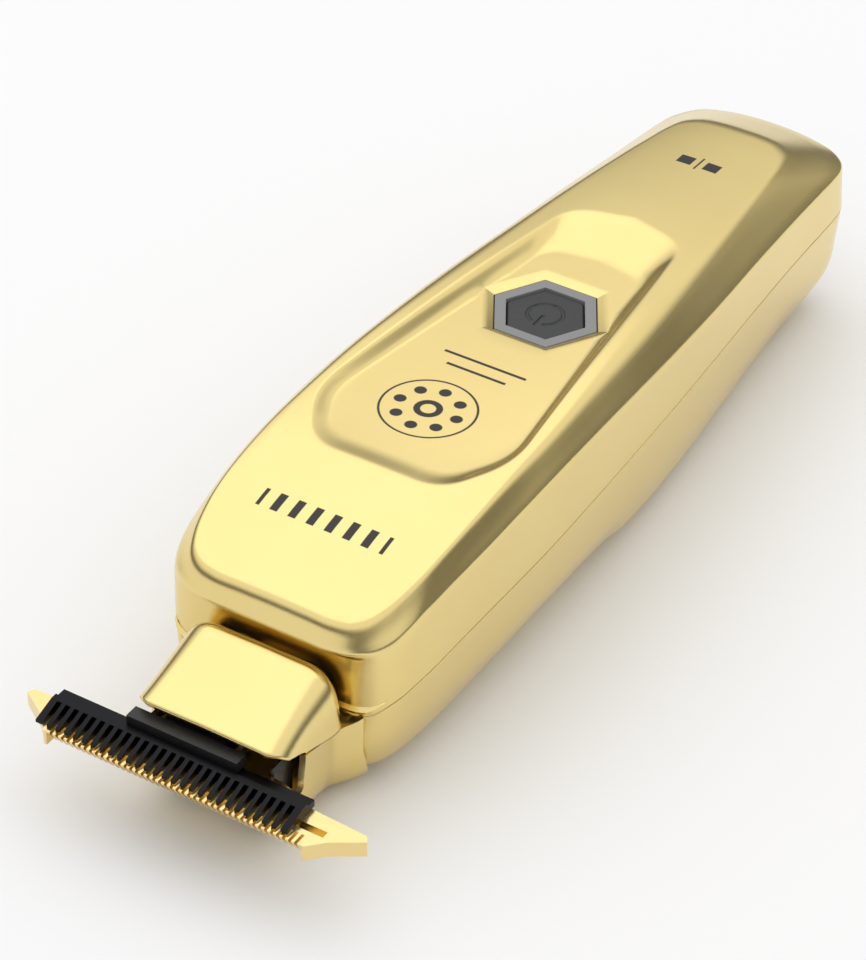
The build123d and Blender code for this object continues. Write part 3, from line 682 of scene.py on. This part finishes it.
def nose_bottom_grid():
    """Neck under the nose: from the seam down a straight side, round a corner and across the bottom; its rear edge
    flares sideways into the casing's front along a parabola."""
    u = np.concatenate([np.linspace(0, 0.5, 10)[:-1], np.linspace(0.5, 0.75, 10)[:-1], np.linspace(0.75, 1, 14)])
    v = np.linspace(0, 1, 44)[:, None]
    drop = np.clip((1 - u) / 0.25, 0, 1)                       # 0 at the seam, 1 where the side ends
    front = np.where(u > 0.75, 12.7 - 0.5 * smooth(drop, 0, 0.75) - 4.5 * smooth(drop, 0.8, 1), 7.7)
    rear = 22.8 + 5.2 * smooth(0.8 - u, 0, 0.4)
    y = front * (1 - v) + rear * v
    bottom = through(y, [(7, -8.2), (8.4, -8.9), (14, -10.2), (20, -11.3), (24, -11.8), (29, -12.0)])
    top = through(y, SEAM_Z) - SEAM_GAP
    side_x = 10.5 + 0 * y
    knee = np.array([10.5, -5.9])
    t = np.clip((0.75 - u) / 0.25, 0, 1)[None] + 0 * y
    x_in = 6.6
    arc_x = knee[0] * (1 - t)**2 + 2 * 10.3 * t * (1 - t) + x_in * t**2
    arc_z = knee[1] * (1 - t)**2 + 2 * bottom * t * (1 - t) + bottom * t**2
    z = np.where(u > 0.75, top * (1 - drop) + knee[1] * drop, np.where(u > 0.5, arc_z, bottom))
    x = np.where(u > 0.75, side_x, np.where(u > 0.5, arc_x, x_in * np.clip(u / 0.5, 0, 1)))
    flare = 3.4 * smooth(y, 18.2, 24.4)**1.6 * smooth(u, 0.35, 0.8)
    right = np.stack([x + flare, y, z], -1)
    left = right[:, :0:-1] * (-1, 1, 1)
    return np.concatenate([left, right], 1)


mesh_piece("nose_neck", [(nose_bottom_grid(), False, False)], finishes["gold_casing"],
           ["lower_casing"], 0.9,
           cuts=[round_prism(BLADE_WELL_R, side * BLADE_SCREW_X, BLADE_SCREW_Y, -16.0, -8.0) for side in (-1, 1)])


# ---- screw wells ------------------------------------------------------------------
def well_grid(r, inner, x, y, low, high):
    """Round wall up from the underside and a flat ring at its top that the screw's head bears on."""
    turn = np.linspace(0, 2 * math.pi, 48, endpoint=False)
    return np.array([np.stack([x + k * np.cos(turn), y + k * np.sin(turn), z + 0 * turn], 1)
                     for k, z in ((r, low), (r, high), (inner, high))])


mesh_piece("screw_wells", [(well_grid(CASE_WELL_R, 1.0, side * x, y, base_z(x, y) + 0.25, CASE_HEAD_Z), True, True)
                           for x, y in CASE_SCREWS for side in (-1, 1)], finishes["gold_casing"],
           ["lower_casing"], 0.3)
mesh_piece("blade_screw_wells", [(well_grid(BLADE_WELL_R, 0.9, side * BLADE_SCREW_X, BLADE_SCREW_Y, -9.15,
                                            BLADE_HEAD_Z), True, True) for side in (-1, 1)],
           finishes["gold_casing"], ["lower_casing"], 0.3)


# ---- key and ring --------------------------------------------------------------------------------
def hexagon_skin(keys):
    """Skin through hexagonal loops given as (corner radius, height, rounding, rows); the smallest closes on a point."""
    return skin([(well(r, z) if r > 0.3 else loop_at(0.02, lambda x, y: z + 0 * x), cut, rows)
                 for r, z, cut, rows in keys])


mesh_piece("key_ring", [(hexagon_skin([(KEY_R + 0.12, RING_Z - 1.6, 0, 2), (KEY_R + 0.12, RING_Z, 0.12, 3),
                                       (RING_R, RING_Z, 0.12, 2), (RING_R, RING_Z - 1.4, 0, 0)]), True, True)],
           finishes["ring_grey"], ["button_ring"], 0.0)


def key_top(x, y):
    """Key's face: a slight crown, less the engraved power sign, an open circle and a stroke through its gap."""
    dx, dy = x, y - KEY_Y
    far = np.hypot(dx, dy)
    gap = smooth(np.abs(dx), 0.75, 1.0) + smooth(dy, -0.4, 0.4)
    circle = (1 - smooth(np.abs(far - 2.45), 0.16, 0.30)) * np.clip(gap, 0, 1)
    stroke = (1 - smooth(np.abs(dx), 0.15, 0.29)) * (1 - smooth(np.abs(dy + 1.75), 1.25, 1.4))
    return RING_Z - 0.12 - 0.006 * far**2 - 0.22 * np.maximum(circle, stroke)


def key_grid():
    """Loops of a rounded hexagon that shrink to the middle, so the engraving is cut by close rows."""
    angles = np.linspace(-math.pi, math.pi, 360, endpoint=False)
    outer = np.minimum(hexagon_radius(KEY_R)(angles), KEY_R - 0.12)
    rows = []
    for r, z in ((1.0, 15.4), (1.0, 16.4), (1.0, 16.95)):
        rows.append(np.stack([outer * r * np.cos(angles), KEY_Y + outer * r * np.sin(angles), 0 * angles + z], 1))
    for turn in np.linspace(0, math.pi / 2, 6):
        r = outer - 0.35 * (1 - math.cos(turn))
        x, y = r * np.cos(angles), KEY_Y + r * np.sin(angles)
        rows.append(np.stack([x, y, key_top(x, y) - 0.35 * (1 - math.sin(turn))], 1))
    for share in np.linspace(1, 0.01, 58)[1:]:
        r = (outer - 0.35) * share
        x, y = r * np.cos(angles), KEY_Y + r * np.sin(angles)
        rows.append(np.stack([x, y, key_top(x, y)], 1))
    return np.array(rows)


mesh_piece("power_key", [(key_grid(), True, False)], finishes["button_black"], ["power_button"],
           body="key", sharp=60, caps=[(0, -1, (0, KEY_Y, RING_Z - 0.12))])


# ---- studio --------------------------------------------------------------------------------------
def card(name, centre, size, aim, strength, colour=(1, 1, 1)):
    """Rectangular soft light that faces the point it aims at."""
    light = bpy.data.lights.new(name, "AREA")
    light.shape, light.size, light.size_y, light.energy, light.color = "RECTANGLE", *size, strength, colour
    lamp = bpy.data.objects.new(name, light)
    bpy.context.scene.collection.objects.link(lamp)
    lamp.location = centre
    lamp.rotation_mode = "QUATERNION"
    lamp.rotation_quaternion = (Vector(aim) - Vector(centre)).to_track_quat("-Z", "Y")
    return lamp


floor_mesh = bpy.data.meshes.new("floor")
reach = 4.0
floor_mesh.from_pydata([(-reach, -reach, 0), (reach, -reach, 0), (reach, reach, 0), (-reach, reach, 0)], [],
                       [(0, 1, 2, 3)])
floor_piece = bpy.data.objects.new("floor", floor_mesh)
bpy.context.scene.collection.objects.link(floor_piece)
paper = Shader("white paper", Roughness=0.9, Specular_IOR_Level=0.0, Base_Color=(0.93, 0.93, 0.935))
floor_mesh.materials.append(paper.material)

world = bpy.data.worlds.new("studio")
bpy.context.scene.world = world
world.use_nodes = True
# the sky is dim near the horizon and bright overhead, so the bevels read darker than the top
sky = world.node_tree
direction, split, rise = (sky.nodes.new(kind) for kind in ("ShaderNodeTexCoord", "ShaderNodeSeparateXYZ",
                                                           "ShaderNodeMapRange"))
rise.interpolation_type = "SMOOTHSTEP"
for socket, value in (("From Min", 0.14), ("From Max", 0.56), ("To Min", 0.16), ("To Max", 1.0)):
    rise.inputs[socket].default_value = value
sky.links.new(direction.outputs["Generated"], split.inputs["Vector"])
sky.links.new(split.outputs["Z"], rise.inputs["Value"])
sky.links.new(rise.outputs["Result"], sky.nodes["Background"].inputs["Strength"])
sky.nodes["Background"].inputs["Color"].default_value = (1, 1, 1, 1)
card("overhead", (-0.25, 0.15, 0.95), (1.3, 1.3), (0, 0, 0), 2.3)

camera = bpy.data.cameras.new("camera")
camera.lens, camera.sensor_width = 127.8, 36.0
camera.clip_start, camera.clip_end = 0.01, 20
eye = bpy.data.objects.new("camera", camera)
bpy.context.scene.collection.objects.link(eye)
eye.matrix_world = Matrix(((0.85181, -0.33281, 0.40455, 0.181788), (0.52342, 0.50928, -0.68313, -0.325288),
                           (0.02132, 0.79364, 0.60801, 0.293586), (0, 0, 0, 1)))
bpy.context.scene.camera = eye
bpy.context.scene.view_settings.view_transform = "Standard"
